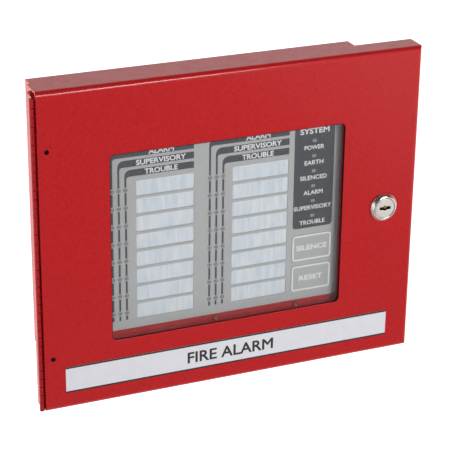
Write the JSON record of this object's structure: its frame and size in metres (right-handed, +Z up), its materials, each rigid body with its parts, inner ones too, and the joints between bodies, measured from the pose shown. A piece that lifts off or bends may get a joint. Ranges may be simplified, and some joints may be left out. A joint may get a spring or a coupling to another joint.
{
  "type": "fire alarm control panel",
  "caption": "Shallow wall cabinet with a windowed, key-locked door over a fire alarm indicator panel with zone lamps, label cards and two push keys.",
  "frame": {"origin": "centre of the flat back that lies on the wall", "axes": "+Z up, +X to the viewer's right when facing the door, +Y back into the wall"},
  "size_m": [0.2838, 0.0366, 0.2327],
  "materials": {
    "red_powder_coat": "semi-gloss red powder coat with fine texture",
    "zinc_steel": "bright zinc plate",
    "nickel": "polished nickel plate",
    "brass": "bright",
    "rubber": "matte black",
    "overlay_film": "satin printed polyester film",
    "card": "smooth white card behind clear film",
    "light_guide": "milky moulded",
    "board": "green solder mask",
    "green_plastic": "moulded",
    "black_plastic": "moulded",
    "blue_plastic": "moulded",
    "clear_lens": "clear polycarbonate sheet",
    "label": "white film",
    "spacer_nylon": "natural nylon"
  },
  "bodies": {
    "cabinet": {"back_box": "red_powder_coat", "entry_grommet": "rubber", "lock_striker": "zinc_steel", "earth_stud": "brass", "earth_nut": "brass", "hinge_box_leaf": "red_powder_coat", "hinge_pin": "zinc_steel", "inner_panel": "red_powder_coat", "membrane_overlay": "overlay_film", "zone_card_left": "card", "zone_card_right": "card", "light_guide_left": "light_guide", "light_guide_right": "light_guide", "light_guide_system": "light_guide", "pillar_1": "zinc_steel", "pillar_2": "zinc_steel", "pillar_3": "zinc_steel", "pillar_4": "zinc_steel", "pillar_5": "zinc_steel", "pillar_6": "zinc_steel", "panel_screw_1": "zinc_steel", "panel_screw_2": "zinc_steel", "panel_screw_3": "zinc_steel", "panel_screw_4": "zinc_steel", "panel_screw_5": "zinc_steel", "panel_screw_6": "zinc_steel", "circuit_board": "board", "board_spacer_1": "spacer_nylon", "board_spacer_2": "spacer_nylon", "board_spacer_3": "spacer_nylon", "board_spacer_4": "spacer_nylon", "terminal_block_power": "green_plastic", "terminal_block_data": "green_plastic", "controller_chip": "black_plastic", "lamp_driver_left": "black_plastic", "lamp_driver_right": "black_plastic", "address_switch": "blue_plastic", "sounder": "black_plastic", "silence_switch": "black_plastic", "reset_switch": "black_plastic"},
    "door": {"door_panel": "red_powder_coat", "hinge_door_leaf": "red_powder_coat", "window_lens": "clear_lens", "lens_retainer": "red_powder_coat", "lens_nut_1": "zinc_steel", "lens_nut_2": "zinc_steel", "lens_nut_3": "zinc_steel", "lens_nut_4": "zinc_steel", "label_strip": "label", "lock_housing": "nickel", "lock_nut": "zinc_steel"},
    "lock_plug": {"lock_plug": "nickel", "lock_cam": "zinc_steel", "cam_screw": "zinc_steel"},
    "silence_key": {"silence_key": "overlay_film"},
    "reset_key": {"reset_key": "overlay_film"}
  },
  "joints": [
    {"name": "door_hinge", "type": "hinge", "parent": "cabinet", "child": "door", "pos_m": [-0.1218, -0.0298, -0.02015], "axis": [0, 0, -1], "range_deg": [0, 170]},
    {"name": "lock_turn", "type": "hinge", "parent": "door", "child": "lock_plug", "pos_m": [0.1348, -0.033, -0.0207], "axis": [0, 1, 0], "range_deg": [0, 90]},
    {"name": "silence_press", "type": "slide", "parent": "cabinet", "child": "silence_key", "axis": [0, 1, 0], "range_m": [0, 0.00025], "stiffness_N_per_m": 4000},
    {"name": "reset_press", "type": "slide", "parent": "cabinet", "child": "reset_key", "axis": [0, 1, 0], "range_m": [0, 0.00025], "stiffness_N_per_m": 4000}
  ]
}
